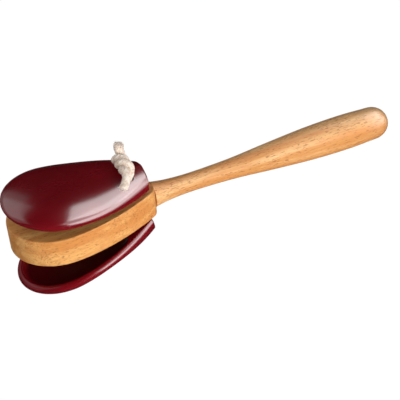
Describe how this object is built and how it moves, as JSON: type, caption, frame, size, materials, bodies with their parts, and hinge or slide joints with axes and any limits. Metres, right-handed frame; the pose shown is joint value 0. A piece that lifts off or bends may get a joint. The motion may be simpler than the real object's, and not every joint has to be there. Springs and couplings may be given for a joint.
{
  "type": "handle castanet",
  "caption": "Handle castanet: a flat egg-shaped wooden paddle on a turned handle, with hollow lacquered shells laced loosely to both faces by a knotted cotton cord, which clack when shaken.",
  "frame": {"origin": "middle of the hand's grip, on the axis of the turned handle", "axes": "+X along the handle towards its round end, +Z square to the paddle's faces on the side of the knot, Y across the paddle"},
  "size_m": [0.2193, 0.0532, 0.0601],
  "materials": {
    "natural_wood": "satin clear lacquer",
    "red_lacquer": "gloss dark red lacquer",
    "cotton": "braided cream cotton"
  },
  "bodies": {
    "handle_and_paddle": {"paddle": "natural_wood", "handle": "natural_wood", "cord_core_near": "cotton", "cord_core_far": "cotton"},
    "top_clapper": {"top_shell": "red_lacquer", "cord_near_end": "cotton", "cord_far_end": "cotton"},
    "bottom_clapper": {"bottom_shell": "red_lacquer", "cord_bridge": "cotton"}
  },
  "joints": [
    {"name": "top_rock", "type": "hinge", "parent": "handle_and_paddle", "child": "top_clapper", "pos_m": [-0.1064, 0, 0.0109], "axis": [0, 1, 0], "range_deg": [-7.6, 7.6]},
    {"name": "bottom_rock", "type": "hinge", "parent": "handle_and_paddle", "child": "bottom_clapper", "pos_m": [-0.1064, 0, -0.0101], "axis": [0, -1, 0], "range_deg": [-14.3, 0]}
  ]
}
